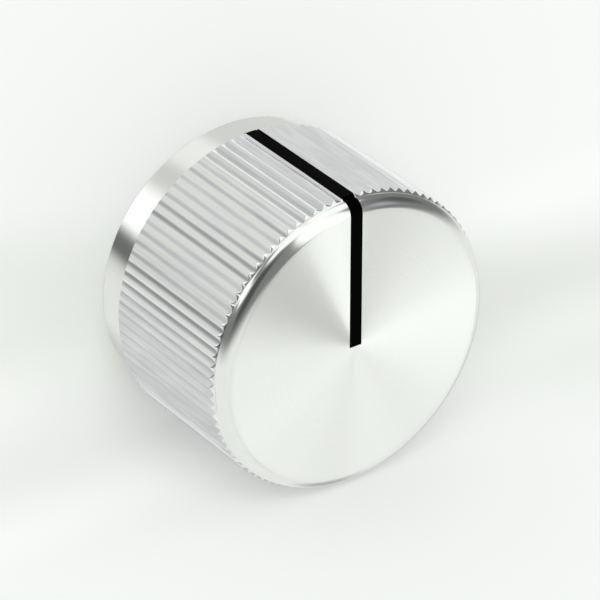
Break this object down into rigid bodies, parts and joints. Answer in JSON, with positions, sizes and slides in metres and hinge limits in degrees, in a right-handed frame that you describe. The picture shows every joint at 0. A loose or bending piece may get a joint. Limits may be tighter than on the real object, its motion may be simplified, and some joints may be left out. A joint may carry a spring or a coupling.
{
  "type": "control knob",
  "caption": "Turned aluminium control knob: flat spun face, rounded polished edge, straight fluted grip, black pointer line, and a blind shaft bore with a set screw.",
  "frame": {"origin": "centre of the rear rim, on the shaft axis", "axes": "+Z along the shaft axis to the front face, -Y towards the pointer line"},
  "size_m": [0.024, 0.024, 0.016],
  "materials": {
    "turned_aluminium": "turned, clear anodised",
    "black_enamel": "satin enamel fill",
    "screw_steel": "black oxide"
  },
  "bodies": {
    "root": {"knob_body": "turned_aluminium", "pointer_fill": "black_enamel", "set_screw": "screw_steel"}
  },
  "joints": []
}
